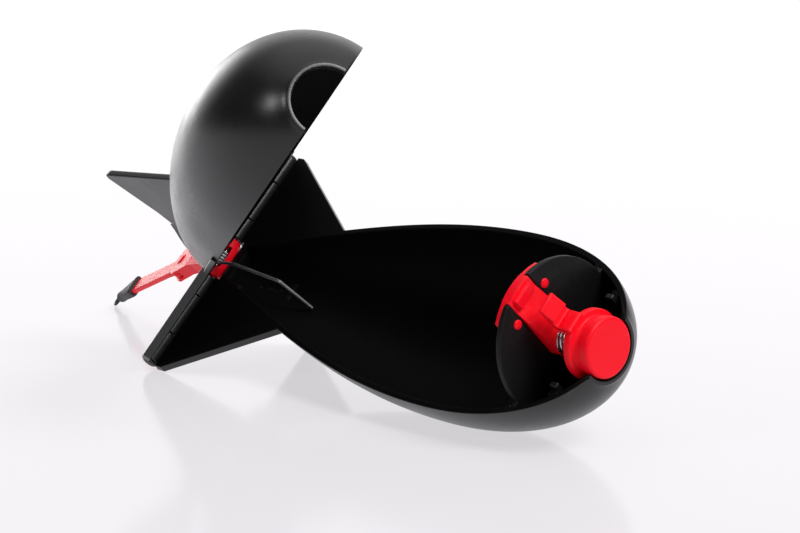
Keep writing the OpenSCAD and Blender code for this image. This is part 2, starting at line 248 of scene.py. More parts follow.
def tube(path, r, sides=14):
    """A round wire along a path, its ends a little rounded."""
    path = [Vector(p) for p in path]
    start, end = path[0].lerp(path[1], 0.02), path[-2].lerp(path[-1], 0.98)
    path = [path[0], start] + path[1:-1] + [end, path[-1]]
    radii = [r * 0.7] + [r] * (len(path) - 2) + [r * 0.7]
    turns = [2 * math.pi * k / sides for k in range(sides)]
    across = (path[1] - path[0]).normalized().orthogonal().normalized()
    rings = []
    for i, p in enumerate(path):
        way = (path[min(i + 1, len(path) - 1)] - path[max(i - 1, 0)]).normalized()
        across = (across - across.dot(way) * way).normalized()
        other = way.cross(across)
        rings.append([p + radii[i] * (across * math.cos(t) + other * math.sin(t)) for t in turns])
    return loft(rings)


def bent(points, radius, steps=6):
    """A path through points whose corners are arcs of that radius."""
    pts = [Vector(p) for p in points]
    made = [pts[0]]
    for a, p, b in zip(pts, pts[1:], pts[2:]):
        u, v = (a - p).normalized(), (b - p).normalized()
        half = u.angle(v) / 2
        reach = radius / math.tan(half)
        start, end = p + u * reach, p + v * reach
        centre = p + (u + v).normalized() * radius / math.sin(half)
        for k in range(steps + 1):
            q = start.lerp(end, k / steps) - centre
            made.append(centre + q.normalized() * radius)
    return made + [pts[-1]]


def mirrored(shape):
    """The same shape on the other side of the rocket's middle plane."""
    points, faces = shape
    return [(x, -y, z) for x, y, z in points], [f[::-1] for f in faces]


def moved(shape, x=0, y=0, z=0):
    points, faces = shape
    return [tuple(Vector(p) + Vector((x, y, z))) for p in points], faces


def both(shape):
    return [shape, mirrored(shape)]


def joined(*shapes):
    """Separate shapes as one."""
    points, faces = [], []
    for more_points, more_faces in shapes:
        faces += [tuple(i + len(points) for i in f) for f in more_faces]
        points += more_points
    return points, faces


def cylinder(a, b, r, turns=48, about="y"):
    """A plain round cutter between two stations."""
    return lathe([(a, r), (b, r)], turns, about)


def block(x, y, z):
    return plate([(x[0], y[0]), (x[1], y[0]), (x[1], y[1]), (x[0], y[1])], z[0], z[1], 0)


# ---------------------------------------------------------------- solids in Blender

def solid(name, shape):
    points, faces = shape
    mesh = bpy.data.meshes.new(name)
    mesh.from_pydata([tuple(p) for p in points], [], faces)
    bm = bmesh.new()
    bm.from_mesh(mesh)
    bmesh.ops.remove_doubles(bm, verts=bm.verts, dist=SAME_POINT)
    bmesh.ops.recalc_face_normals(bm, faces=bm.faces)
    bm.to_mesh(mesh)
    bm.free()
    obj = bpy.data.objects.new(name, mesh)
    bpy.context.scene.collection.objects.link(obj)
    return obj


def combine(obj, operation, *shapes):
    """Adds, cuts away or keeps the overlap with each shape, on exact closed meshes."""
    for shape in shapes:
        other = solid("tool", shape)
        step = obj.modifiers.new("step", "BOOLEAN")
        step.solver = "MANIFOLD"
        step.operation = operation
        step.object = other
        bpy.context.view_layer.update()
        evaluated = obj.evaluated_get(bpy.context.evaluated_depsgraph_get())
        result = bpy.data.meshes.new_from_object(evaluated)
        obj.modifiers.clear()
        old, obj.data = obj.data, result
        bpy.data.meshes.remove(old)
        bpy.data.meshes.remove(other.data)
    return obj


def union(obj, *shapes):
    return combine(obj, "UNION", *shapes)


def cut(obj, *shapes):
    return combine(obj, "DIFFERENCE", *shapes)


def taken(obj):
    """The shape of a scratch object, which is then thrown away."""
    mesh = obj.data
    shape = [tuple(v.co) for v in mesh.vertices], [tuple(p.vertices) for p in mesh.polygons]
    bpy.data.meshes.remove(mesh)
    return shape


def kept_within(shape, *limits):
    """The part of a shape that lies inside every limit."""
    return taken(combine(solid("trim", shape), "INTERSECT", *limits))


def finish_piece(obj, node, place, body, finish, sharp=SHARP_DEG):
    """Turns a piece into the row frame, smooths it, ties it to its body and hides the CAD node it
    stands in for.
    """
    materials, slot = finish
    mesh = obj.data
    bm = bmesh.new()
    bm.from_mesh(mesh)
    bmesh.ops.remove_doubles(bm, verts=bm.verts, dist=2 * SLIVER)
    bmesh.ops.dissolve_degenerate(bm, dist=SLIVER, edges=bm.edges)
    bm.to_mesh(mesh)
    bm.free()
    mesh.transform(place @ Matrix.Scale(MM, 4))
    mesh.polygons.foreach_set("use_smooth", [True] * len(mesh.polygons))
    mesh.set_sharp_from_angle(angle=math.radians(sharp))
    weighted = obj.modifiers.new("weighted", "WEIGHTED_NORMAL")
    weighted.keep_sharp = True
    mesh.materials.clear()
    mesh.polygons.foreach_set("material_index", [0] * len(mesh.polygons))
    for m in materials:
        mesh.materials.append(m)
    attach(obj, body)
    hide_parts(node)


# ---------------------------------------------------------------- materials

def smooth_ramp(tree, value, lo, hi, to_lo, to_hi):
    """A smooth step that turns a value from lo to hi into one from to_lo to to_hi."""
    node = tree.nodes.new("ShaderNodeMapRange")
    node.interpolation_type = "SMOOTHSTEP"
    for key, v in zip(("From Min", "From Max", "To Min", "To Max"), (lo, hi, to_lo, to_hi)):
        node.inputs[key].default_value = v
    tree.links.new(value, node.inputs["Value"])
    return node.outputs["Result"]


class Nodes:
    """A short way to write a material's nodes."""

    def __init__(self, name):
        self.material = bpy.data.materials.new(name)
        self.material.use_nodes = True
        self.tree = self.material.node_tree
        self.shader = self.tree.nodes["Principled BSDF"]
        self.place = self.add("ShaderNodeTexCoord").outputs["Object"]

    def add(self, kind, **values):
        node = self.tree.nodes.new(kind)
        for key, value in values.items():
            if key in node.inputs:
                if isinstance(value, bpy.types.NodeSocket):
                    self.tree.links.new(value, node.inputs[key])
                else:
                    node.inputs[key].default_value = value
            else:
                setattr(node, key, value)
        return node

    def noise(self, scale, detail=3.0, roughness=0.5, stretch=None):
        """Noise whose scale is in cycles a metre; stretch scales its three axes."""
        place = self.place
        if stretch:
            place = self.add("ShaderNodeMapping", Vector=place, Scale=stretch).outputs["Vector"]
        return self.add("ShaderNodeTexNoise", Vector=place, Scale=scale, Detail=detail,
                        Roughness=roughness).outputs["Fac"]

    def ramp(self, value, lo, hi, to_lo=0.0, to_hi=1.0):
        return smooth_ramp(self.tree, value, lo, hi, to_lo, to_hi)

    def math(self, operation, a, b):
        node = self.tree.nodes.new("ShaderNodeMath")
        node.operation = operation
        for socket, v in zip(node.inputs, (a, b)):
            if isinstance(v, bpy.types.NodeSocket):
                self.tree.links.new(v, socket)
            else:
                socket.default_value = v
        return node.outputs[0]

    def mix(self, share, a, b):
        node = self.tree.nodes.new("ShaderNodeMix")
        node.data_type = "RGBA"
        for key, v in ((0, share), (6, a), (7, b)):
            if isinstance(v, bpy.types.NodeSocket):
                self.tree.links.new(v, node.inputs[key])
            else:
                node.inputs[key].default_value = v
        return node.outputs[2]

    def bump(self, height, strength, distance):
        node = self.add("ShaderNodeBump", Height=height, Strength=strength, Distance=distance)
        return node.outputs["Normal"]

    def scratches(self, scale, angle, width):
        """Thin, broken hairline scratches: 1 on a line, 0 off it."""
        place = self.add("ShaderNodeMapping", Vector=self.place, Rotation=angle,
                         Scale=(1.0, 0.06, 1.0)).outputs["Vector"]
        cells = self.add("ShaderNodeTexVoronoi", feature="DISTANCE_TO_EDGE", Vector=place,
                         Scale=scale)
        line = self.ramp(cells.outputs["Distance"], 0.0, width, 1.0, 0.0)
        broken = self.ramp(self.noise(260.0, 2.0), 0.52, 0.62)
        return self.math("MULTIPLY", line, broken)

    def worn_edge(self, start, end):
        """1 on a convex edge, 0 on the flat, broken up by noise."""
        point = self.add("ShaderNodeNewGeometry").outputs["Pointiness"]
        edge = self.ramp(point, start, end)
        broken = self.ramp(self.noise(420.0, 4.0), 0.35, 0.65, 0.25, 1.0)
        return self.math("MULTIPLY", edge, broken)

    def set(self, **values):
        names = {"colour": "Base Color", "rough": "Roughness", "metal": "Metallic",
                 "normal": "Normal", "specular": "Specular IOR Level",
                 "sheen": "Sheen Weight", "subsurface": "Subsurface Weight"}
        for key, v in values.items():
            socket = self.shader.inputs[names[key]]
            if isinstance(v, bpy.types.NodeSocket):
                self.tree.links.new(v, socket)
            else:
                socket.default_value = v
        return self.material


def colour(r, g, b):
    return (r, g, b, 1.0)


def satin_plastic(name, base, worn, rough_lo, rough_hi):
    """Moulded black plastic: soft orange peel, patchy gloss, hairlines and rubbed edges."""
    n = Nodes(name)
    patches = n.noise(55.0, 4.0, 0.6)
    fine = n.noise(900.0, 3.0, 0.6)
    hair = n.math("MAXIMUM", n.scratches(160.0, (0.3, 0.7, 0.2), 0.012),
                  n.scratches(120.0, (1.1, 0.2, 1.3), 0.010))
    edge = n.worn_edge(0.515, 0.60)
    tint = n.mix(n.ramp(patches, 0.3, 0.7), colour(*base), colour(*[c * 1.35 for c in base]))
    tint = n.mix(n.math("MULTIPLY", edge, 0.55), tint, colour(*worn))
    tint = n.mix(n.math("MULTIPLY", hair, 0.03), tint, colour(0.09, 0.09, 0.095))
    mottle = n.math("ADD", n.math("MULTIPLY", patches, 0.7), n.math("MULTIPLY", fine, 0.3))
    gloss = n.ramp(mottle, 0.35, 0.65, rough_lo, rough_hi)
    gloss = n.math("ADD", gloss, n.math("MULTIPLY", hair, 0.15))
    gloss = n.math("ADD", gloss, n.math("MULTIPLY", edge, 0.08))
    height = n.math("SUBTRACT", n.noise(1500.0, 2.0), n.math("MULTIPLY", hair, 0.5))
    return n.set(colour=tint, rough=gloss, specular=0.5, normal=n.bump(height, 0.03, 0.0001))


def textured_plastic(name, base, rough_lo, rough_hi, specular):
    """The mould's spark-eroded matt texture."""
    n = Nodes(name)
    grain = n.add("ShaderNodeTexVoronoi", Vector=n.place, Scale=2600.0).outputs["Distance"]
    soft = n.noise(1800.0, 4.0, 0.7)
    dust = n.ramp(n.noise(38.0, 5.0, 0.65), 0.45, 0.75)
    edge = n.worn_edge(0.52, 0.62)
    tint = n.mix(dust, colour(*base), colour(*[c * 1.6 for c in base]))
    tint = n.mix(n.math("MULTIPLY", edge, 0.4), tint, colour(0.05, 0.05, 0.053))
    gloss = n.ramp(soft, 0.3, 0.7, rough_lo, rough_hi)
    height = n.math("ADD", n.math("MULTIPLY", grain, 0.6), n.math("MULTIPLY", soft, 0.6))
    return n.set(colour=tint, rough=gloss, specular=specular, normal=n.bump(height, 0.35, 0.00012))


def red_plastic():
    """Bright red moulding with a slight glow in thin places, flow marks and rubbed edges."""
    n = Nodes("red_moulding")
    flow = n.noise(26.0, 4.0, 0.55, stretch=(0.4, 1.0, 1.0))
    fine = n.noise(1100.0, 3.0)
    hair = n.scratches(210.0, (0.4, 0.9, 0.1), 0.012)
    edge = n.worn_edge(0.52, 0.64)
    tint = n.mix(n.ramp(flow, 0.3, 0.7),
                 colour(0.90, 0.001, 0.012), colour(0.98, 0.003, 0.02))
    tint = n.mix(n.math("MULTIPLY", edge, 0.3), tint, colour(0.95, 0.09, 0.1))
    tint = n.mix(n.math("MULTIPLY", hair, 0.12), tint, colour(0.98, 0.3, 0.3))
    gloss = n.math("ADD", n.ramp(fine, 0.3, 0.7, 0.36, 0.46), n.math("MULTIPLY", hair, 0.2))
    height = n.math("SUBTRACT", n.noise(1300.0, 3.0), n.math("MULTIPLY", hair, 0.5))
    n.shader.inputs["Subsurface Radius"].default_value = (1.0, 0.12, 0.08)
    n.shader.inputs["Subsurface Scale"].default_value = 0.0012
    return n.set(colour=tint, rough=gloss, subsurface=0.12, specular=0.2,
                 normal=n.bump(height, 0.12, 0.0001))


def metal(name, base, dark, rough_lo, rough_hi, stretch):
    """Drawn or turned metal: fine lines one way, tarnish in patches."""
    n = Nodes(name)
    lines = n.noise(1400.0, 3.0, 0.6, stretch=stretch)
    patch = n.ramp(n.noise(300.0, 4.0, 0.6), 0.42, 0.7)
    tint = n.mix(n.math("MULTIPLY", patch, 0.6), colour(*base), colour(*dark))
    mottle = n.math("ADD", n.math("MULTIPLY", lines, 0.6), n.math("MULTIPLY", patch, 0.4))
    gloss = n.ramp(mottle, 0.2, 0.8, rough_lo, rough_hi)
    return n.set(colour=tint, rough=gloss, metal=1.0, normal=n.bump(lines, 0.2, 0.00005))


def rubber():
    """Matt black rubber with a fine, slightly dusty grain."""
    n = Nodes("boot_rubber")
    grain = n.noise(2300.0, 4.0, 0.7)
    dust = n.ramp(n.noise(240.0, 5.0, 0.7), 0.5, 0.8)
    tint = n.mix(dust, colour(0.018, 0.018, 0.02), colour(0.06, 0.058, 0.056))
    return n.set(colour=tint, rough=n.ramp(grain, 0.3, 0.7, 0.55, 0.8), specular=0.35, sheen=0.12,
                 normal=n.bump(grain, 0.3, 0.0001))


# each finish is a piece's materials and the record's slot
SHELL = ([satin_plastic("shell_satin", (0.005, 0.005, 0.0056), (0.03, 0.03, 0.033), 0.27, 0.34),
          textured_plastic("shell_matt", (0.0013, 0.0013, 0.0015), 0.5, 0.66, 0.08)],
         "black_shell")
BULKHEAD = ([textured_plastic("bulkhead_matt", (0.003, 0.003, 0.0034), 0.42, 0.56, 0.2)],
            "black_bulkhead")
RED = ([red_plastic()], "red_plastic")
STEEL = ([metal("bright_steel", (0.72, 0.72, 0.74), (0.45, 0.44, 0.43), 0.16, 0.34,
                (0.15, 1.0, 1.0))], "steel")
SPRING = ([metal("spring_wire", (0.66, 0.66, 0.68), (0.34, 0.33, 0.32), 0.2, 0.36,
                 (1.0, 1.0, 0.3))], "steel")
DARK_WIRE = ([metal("dark_wire", (0.30, 0.30, 0.315), (0.17, 0.17, 0.18), 0.5, 0.66,
                    (0.2, 1.0, 1.0))], "dark_wire")
DARK_METAL = ([metal("blackened_metal", (0.06, 0.06, 0.066), (0.03, 0.03, 0.032), 0.36, 0.52,
                     (0.3, 1.0, 1.0))], "dark_metal")
RUBBER = ([rubber()], "black_rubber")


# ---------------------------------------------------------------- shells

END_WALL = 6.9       # station of the tail's inner end, just ahead of the hub's room
HOLLOW_TO = 26       # station as far as which the hollow is cleared of the fins' roots
LAST_KNUCKLE = 2     # the outermost, which reaches the pin's end


def body_r(x, inside=0.0):
    """Radius of the body, less inside, at a station between the tail and the widest place."""
    share = math.sin(math.pi / 2 * (x - tail_x) / (wide_x - tail_x)) ** tail_power
    return tail_r - inside + (wide_r - tail_r) * share


def mid_wall(x):
    return body_r(x) - wall / 2


def nose_curve(inside, end_r, steps):
    """(station, radius) points of the superellipse nose, from the widest place to end_r."""
    r, length, power = wide_r - inside, nose_len - inside, 2 / nose_power
    stop = math.acos((end_r / r) ** (nose_power / 2))
    turns = [stop * i / steps for i in range(steps + 1)]
    return [(wide_x + length * math.sin(t) ** power, r * math.cos(t) ** power) for t in turns]


def rise(inside, start, steps):
    """(station, radius) points from start up to the widest place, without the last."""
    xs = [start + (wide_x - start) * i / steps for i in range(steps)]
    return [(x, body_r(x, inside)) for x in xs]


def wall_outline():
    """Closed (station, radius) section of the wall: outside, lip round the hole, inside, tail."""
    lip_r = hole_r + lip_w
    nose = nose_curve(0, lip_r + 1.1, 30)
    lip_x = nose_curve(0, lip_r, 30)[-1][0]
    a, b = Vector(nose[-1]), Vector((lip_x + 0.14, lip_r + 0.12))
    way = (a - Vector(nose[-2])).normalized()
    hip = a + way * (b - a).length * 0.62
    fillet = [tuple((1 - t) ** 2 * a + 2 * t * (1 - t) * hip + t * t * b)
              for t in (0.25, 0.5, 0.75, 1.0)]
    top = lip_x + lip_h
    lip = rounded([(lip_x - 0.6, lip_r), (top, lip_r), (top, hole_r), (lip_x - 1.2, hole_r)],
                  [0, 0.3, 0.35, 0], 4)[1:-1]
    inner_nose = nose_curve(wall, hole_r + 0.3, 26)[::-1]
    inner_rise = rise(wall, END_WALL, 34)[::-1]
    tail = [(END_WALL - 0.5, mid_wall(END_WALL) - 0.5), (tail_x + 0.6, tail_r - 1.5)]
    outer = [(tail_x, tail_r - 0.5), (tail_x + 0.15, tail_r - 0.15)] + rise(0, tail_x + 0.6, 40)
    return outer + nose + fillet + lip + inner_nose + inner_rise + tail


def half_wall(side):
    """Half of the thin body with a rounded rim; side is 1 for the upper half, -1 for the lower."""
    edge = 0.32
    section = wall_outline()
    rim = [(d, rim_gap + t) for d, t in edge_steps(edge, 4)][:-1]

    def rim_row(d, h, hand):
        return [(x, hand * math.sqrt(r * r - h * h), side * h) for x, r in inset(section, d)]

    rows = [rim_row(d, h, 1) for d, h in rim]
    for j in range(SHELL_TURNS + 1):
        row = []
        for x, r in section:
            first = math.asin((rim_gap + edge) / r)
            t = first + (math.pi - 2 * first) * j / SHELL_TURNS
            row.append((x, r * math.cos(t), side * r * math.sin(t)))
        rows.append(row)
    return loft(rows + [rim_row(d, h, -1) for d, h in reversed(rim)])


def side_fin(side):
    """The +Y half of one shell's side fin, running into the middle of the wall."""
    root_x = fin_root[0] + 0.1
    root = [(x, mid_wall(x)) for x in np.linspace(root_x, tail_x + 0.4, 22)]
    slope = (fin_root[1] - fin_span) / (fin_root[0] - fin_corner_x)
    lead = (root_x, fin_span + slope * (root_x - fin_corner_x))
    corners = rounded([(0, hub_slot + 1), (0, knuckle_ys[3]), (2, fin_span),
                       (fin_corner_x, fin_span), lead], [0, 0.6, 0.9, 1.3, 0])
    lo, hi = (rim_gap, fin_t) if side > 0 else (-fin_t, -rim_gap)
    return plate(corners + root[1:], lo, hi, 0.38)


def dorsal_fin(side):
    """The fin that stands square to the parting plane; its rear edge is straight and upright."""
    root = [(x, side * mid_wall(x)) for x in np.linspace(dorsal_root[0] + 0.9, 4.2, 22)]
    tip = side * dorsal_span
    slope = (side * dorsal_root[1] - (tip - side * 0.6)) / (dorsal_root[0] - 8)
    lead = (root[0][0], side * dorsal_root[1] + slope * (root[0][0] - dorsal_root[0]))
    corners = rounded([(4.0, side * 6), (4.0, side * 19), (5, side * 24), (5.2, tip - side * 1.2),
                       (6.4, tip), (8, tip - side * 0.6), lead], [0, 2, 2, 0.8, 0.7, 1.2, 0])
    return plate(corners + root[1:], -dorsal_t / 2, dorsal_t / 2, 0.5, "xz")


def tail_gusset(side):
    """Ogive blend from the narrow tail up to the dorsal fin's root, thinning towards the nose."""
    rear = [(6.4, rim_gap + 0.5), (6.1, 3.5), (5.6, 6.2), (4.95, 9.0), (4.1, 11.8), (3.05, 14.4),
            (1.95, 16.8), (1.1, 19.0)]
    front = [(1.1, 6.5 + 7.5 * i / (len(rear) - 1)) for i in range(len(rear))]
    start, length = 2.5, 19.5

    def section(x, share, d):
        half = [(ra + (fa - ra) * share, rb + (fb - rb) * share)
                for (ra, rb), (fa, fb) in zip(rear, front)]
        outline = half + [(-a, b) for a, b in reversed(half)]
        return [(x, a, side * b) for a, b in inset(outline, d)]

    rings = [section(start + t, 0, d) for d, t in edge_steps(0.45)]
    rings += [section(start + length * s, s, 0) for s in np.linspace(0.08, 1, 12)]
    return loft(rings)


def knuckle(k, side):
    """A hinge barrel with the block that joins it to the fin."""
    y0 = knuckle_ys[k] + knuckle_gap
    y1 = knuckle_ys[k + 1] - (0 if k == LAST_KNUCKLE else knuckle_gap)
    reach = math.degrees(math.asin(rim_gap / knuckle_r))
    under = math.degrees(math.asin(fin_t / knuckle_r))
    barrel = arc((0, 0), knuckle_r, -reach, 360 - under, 40)
    outline = [(4.2, -rim_gap)] + barrel + [(4.2, -fin_t)]
    if side > 0:
        outline = [(x, -z) for x, z in outline]
    return plate(outline, y0, y1, 0.28, "xz")


def shell(name, side, own, other, extras):
    """One whole shell as one clean solid; own and other number the knuckles of each shell."""
    obj = solid(name, half_wall(side))
    end = arc((0, 0), hub_cut_r, -80, 80, 24) + arc((0, 0), END_WALL + 0.4, 80, -80, 24)
    inside = [(x, body_r(x) - wall * 0.6) for x in np.linspace(tail_x, 9, 5)]
    half = (rim_gap, FAR) if side > 0 else (-FAR, -rim_gap)
    tail_end = kept_within(plate(end, -7, 7, 0, "xz"),
                           lathe([(tail_x, ON_AXIS)] + inside + [(9, ON_AXIS)], 96),
                           block((-5, FAR), (-FAR, FAR), half))
    union(obj, tail_end, *both(side_fin(side)), dorsal_fin(side), tail_gusset(side))
    room = []
    for k in other:
        y1 = knuckle_ys[k + 1] + (3 if k == LAST_KNUCKLE else knuckle_gap)
        room += both(cylinder(knuckle_ys[k] - knuckle_gap, y1, knuckle_r + knuckle_clear, 64))
    # the gusset is solid, so the body's hollow is cut again through it
    start = END_WALL + 0.3
    hollow = [(x, body_r(x, wall)) for x in np.linspace(start, HOLLOW_TO, 12)]
    cut(obj, *room, cylinder(-hub_slot, hub_slot, hub_cut_r, 64),
        block((-FAR, 0), (-hub_slot, hub_slot), (-FAR, FAR)),
        lathe([(start, ON_AXIS)] + hollow + [(HOLLOW_TO, ON_AXIS)], 144))
    union(obj, *[s for k in own for s in both(knuckle(k, side))])
    cut(obj, cylinder(-60, 60, pin_r + 0.02, 40),
        *both(cylinder(knuckle_ys[3], fin_span + 4, 2.7, 48)),
        block(leg_notch, (-leg_room, leg_room), (0, leg_notch_h)))
    return union(obj, *extras)


def paint_inside(obj, place):
    """Gives the second material to what faces the hollow or lies in the parting plane."""
    back = (place @ Matrix.Scale(MM, 4)).inverted()
    turn = back.to_3x3()
    for face in obj.data.polygons:
        c = back @ face.center
        n = (turn @ face.normal).normalized()
        r = math.hypot(c.y, c.z)
        outwards = (n.y * c.y + n.z * c.z) / max(r, 1e-6)
        flat = abs(c.z) < 0.7 and abs(n.z) > 0.6
        if c.x < wide_x:
            inner = c.x > tail_x + 3 and r < body_r(c.x) - 0.2 and outwards < 0.1
        else:
            inner = outwards < -0.3 or (n.x < -0.05 and r < wide_r - 1)
        if flat or inner:
            face.material_index = 1


def lower_shell():
    """Has a rib behind the bulkhead, a groove for its edge, and two locating pegs in the nose."""
    back, front, inner_y = 157.4, 160, 14
    pegs = []
    for y, lo, hi, edge in ((17.6, -4, -0.2, 0.1), (15.4, -1.5, 1.2, 0.25)):
        outline = [(back, inner_y), (front, inner_y), (front, y), (back, y)]
        pegs.append(plate(rounded(outline, 0.25, 3), lo, hi, edge))
    pegs += [mirrored(peg) for peg in pegs]
    rib = arc((0, 0), 25.3, 180, 360, 64) + arc((0, 0), bulkhead_r - 0.4, 360, 180, 64)
    rib = plate([(a, b - rim_gap) for a, b in rib], cradle_back, bulkhead_back - 0.02, 0.2, "yz")
    obj = shell("lower_shell_skin", -1, [1], [0, 2], [rib] + pegs)
    cut(obj, cylinder(bulkhead_back - 0.01, bulkhead_x + 0.01, bulkhead_r + groove_depth, 128, "x"))
    finish_piece(obj, "lower_shell", device, "lower_body", SHELL)
    paint_inside(obj, device)


def rim_rail():
    """A rail on the wall beside the rim, from the side fin's root towards the widest place."""
    xs = np.linspace(*rail_x, 24)
    outline = [(x, body_r(x) + rail_h) for x in xs] + [(x, mid_wall(x)) for x in xs[::-1]]
    return plate(outline, rim_gap, wall, 0.28)


def upper_shell():
    """Has the catch that the button's hook holds, the brace behind it, and two rails."""
    catch = plate(rounded([(158.5, 11.4), (161.7, 11.4), (161.7, 19.5), (160.3, 19.5),
                           (160.3, 12.5), (158.5, 12.5)], [0.3, 0.3, 0, 0, 0.4, 0.3], 3),
                  -hook_hw, hook_hw, 0.25, "xz")
    brace = plate([(159.4, 12.2), (162.4, 12.2), (162.4, 19.0), (159.4, 19.0)], -1, 1, 0.2, "xz")
    limit = lathe([(wide_x, wide_r - wall)] + nose_curve(wall / 2, 6.0, 40)[1:], 96)
    obj = shell("upper_shell_skin", 1, [0, 2], [1],
                [kept_within(catch, limit), kept_within(brace, limit)] + both(rim_rail()))
    finish_piece(obj, "upper_shell", opened, "upper_body", SHELL)
    paint_inside(obj, opened)


# ---------------------------------------------------------------- nose mechanism

rivet_at, rivet_hole_r = (7.0, 15.0), 1.02
slot_hw = 4.9
band_r, band_hw = 21.6, 10.4
pad_x, pad_top = span("spring_washer")[0].x - 0.02, 4.9
guide_r = 3.3
spring_r = 4.1


def at_rivets(shape):
    return [moved(shape, y=s * rivet_at[0], z=rivet_at[1]) for s in (-1, 1)]


def bulkhead():
    """Disc with a slot for the cradle; its lower half is wider and sits in the shell's groove."""
    rim_top = math.sqrt(bulkhead_r ** 2 - slot_hw ** 2)
    lip = math.degrees(math.atan2(rim_top, slot_hw))
    corner = rim_top - 1.4
    outline = arc((0, 0), bulkhead_r, lip - 1.2, 0.4, 40)
    outline += arc((0, 0), bulkhead_r + groove_depth, -0.4, -179.6, 80)
    outline += arc((0, 0), bulkhead_r, 179.6, 180 - lip + 1.2, 40)
    outline += [(-slot_hw - 0.25, corner + 0.75), (-slot_hw, corner)]
    outline += arc((0, 0), slot_hw, -180, 0, 30)
    outline += [(slot_hw, corner), (slot_hw + 0.25, corner + 0.75)]
    obj = solid("bulkhead_plate", plate(outline, bulkhead_back, bulkhead_x, 0.4, "yz"))
    cut(obj, *at_rivets(cylinder(bulkhead_x - 5, bulkhead_x + 5, rivet_hole_r, 28, "x")))
    finish_piece(obj, "bulkhead", device, "lower_body", BULKHEAD)


def latch_cradle():
    """Bed in the bulkhead's slot that slopes out to a pad, with the stem's guide and a band."""
    back, face, top = cradle_back, bulkhead_x - 0.4, band_r + 1
    hw = slot_hw - 0.12
    slope = rounded([(back, -hw - 1), (pad_x, -hw - 1), (pad_x, pad_top), (face, 17.0),
                     (face, top), (back, top)], [0, 0, 3.5, 4, 0, 0], 7)
    slot = [(hw, top)] + arc((0, 0), hw, 0, -180, 24) + [(-hw, top)]
    bed = kept_within(plate(slope, -hw, hw, 0, "xz"), plate(slot, back, pad_x, 0.3, "yz"),
                      cylinder(back - 1, pad_x + 1, band_r, 96, "x"))
    obj = solid("latch_cradle_moulding", bed)
    guide = [(back, guide_r - 0.2), (back + 0.2, guide_r), (guide_x - 0.35, guide_r),
             (guide_x - 0.1, guide_r - 0.1), (guide_x, guide_r - 0.35)]
    lump = plate(rounded([(147, 16.6), (150.3, 17.0), (150.3, 20.1), (149.5, 20.6), (147, 20.6)],
                         [0, 0.6, 0.45, 0.4, 0], 4), -3.4, 3.4, 0.35, "xz")
    half = math.degrees(math.acos(band_hw / band_r))
    band = arc((0, 0), band_r, half, 180 - half, 28)
    band += [(-band_hw, 12.6), (1 - band_hw, 11.5), (band_hw - 1, 11.5), (band_hw, 12.6)]
    union(obj, lathe(guide), lump, plate(band, back, bulkhead_back - 0.1, 0.3, "yz"))
    cut(obj, cylinder(back - 5, guide_x + 10, stem_r + 0.06, 40, "x"),
        *at_rivets(cylinder(back - 5, bulkhead_x + 5, rivet_hole_r, 28, "x")))
    finish_piece(obj, "latch_cradle", device, "lower_body", RED)


def cradle_rivets():
    """Each has a domed head in front of the bulkhead and a flared foot behind the cradle."""
    dome_x = bulkhead_x + 0.22
    foot = [(cradle_back - 0.5, 0.9), (cradle_back - 0.35, 1.35), (cradle_back - 0.02, 1.5),
            (cradle_back - 0.02, 1.0)]
    head = [(bulkhead_x, 1.0), (bulkhead_x, 1.38), (dome_x, 1.36)]
    head += [(dome_x + 0.4 * math.sin(t), 1.36 * math.cos(t))
             for t in map(math.radians, (20, 40, 60, 78))]
    obj = solid("cradle_rivet_heads", joined(*at_rivets(lathe(foot + head, 36))))
    finish_piece(obj, "cradle_rivets", device, "lower_body", RED)


def nose_button():
    """Cap, flange and hook in one, with a round seat for the spring in the flange's back."""
    back, front = 160.6, 163.0
    cap_r, edge = 8.5, 0.9
    profile = [(back, 7.4), (back, flange_r - 0.35), (back + 0.1, flange_r - 0.1),
               (back + 0.35, flange_r), (front - 0.5, flange_r), (front - 0.15, flange_r - 0.15),
               (front, flange_r - 0.5), (front + 0.12, 8.5), (front + 0.5, 8.05),
               (front + 1.4, 7.95), (164.7, 7.95), (164.95, 8.1), (165.15, 8.35), (165.4, cap_r)]
    profile += [(cap_x - edge + edge * math.sin(t), cap_r - edge + edge * math.cos(t))
                for t in map(math.radians, range(0, 91, 15))]
    profile += [(cap_x, 5.0), (cap_x, 2.0)]
    obj = solid("nose_button_moulding", lathe(profile, 96))
    hook = rounded([(162.9, 8.3), (162.9, 10.6), (158.6, 10.9), (157.9, 12.6), (159.4, 13.1),
                    (157.3, 17.9), (156.3, 17.9), (156.3, 10.5), (157.5, 9), (160.8, 8.0)],
                   [0, 0.9, 0.7, 0.5, 0.4, 0.35, 0.35, 0.9, 1.2, 0])
    union(obj, plate(hook, -hook_hw, hook_hw, 0.35, "xz"))
    post, seat, depth = spring_r - 1.2, spring_r + 1.3, back + 1.6
    cut(obj, ring([(back - 1, post), (depth, post), (depth, seat), (back - 1, seat)], 72),
        cylinder(back - 1, 166, stem_r, 40, "x"))
    finish_piece(obj, "nose_button", device, "trigger", RED)


def trigger_stem():
    """Rod with a neck for the clip behind the cradle."""
    lo, hi = span("stem_clip")
    neck = [lo.x - 0.04, hi.x + 0.03]
    profile = [(lo.x - 1, 1.6), (lo.x - 0.7, 1.95), (neck[0], stem_r), (neck[0], 1.5),
               (neck[1], 1.5), (neck[1], stem_r), (165.8, stem_r)]
    finish_piece(solid("trigger_stem_rod", lathe(profile, 40)), "trigger_stem", device, "trigger",
                 STEEL)


def stem_clip():
    lo, hi = span("stem_clip")
    outline = arc((0, 0), 3.55, -60, 240, 44) + arc((0, 0), 1.55, 236, -56, 30)
    finish_piece(solid("stem_retaining_clip", plate(outline, lo.x, hi.x, 0.12, "yz")), "stem_clip",
                 device, "trigger", STEEL)


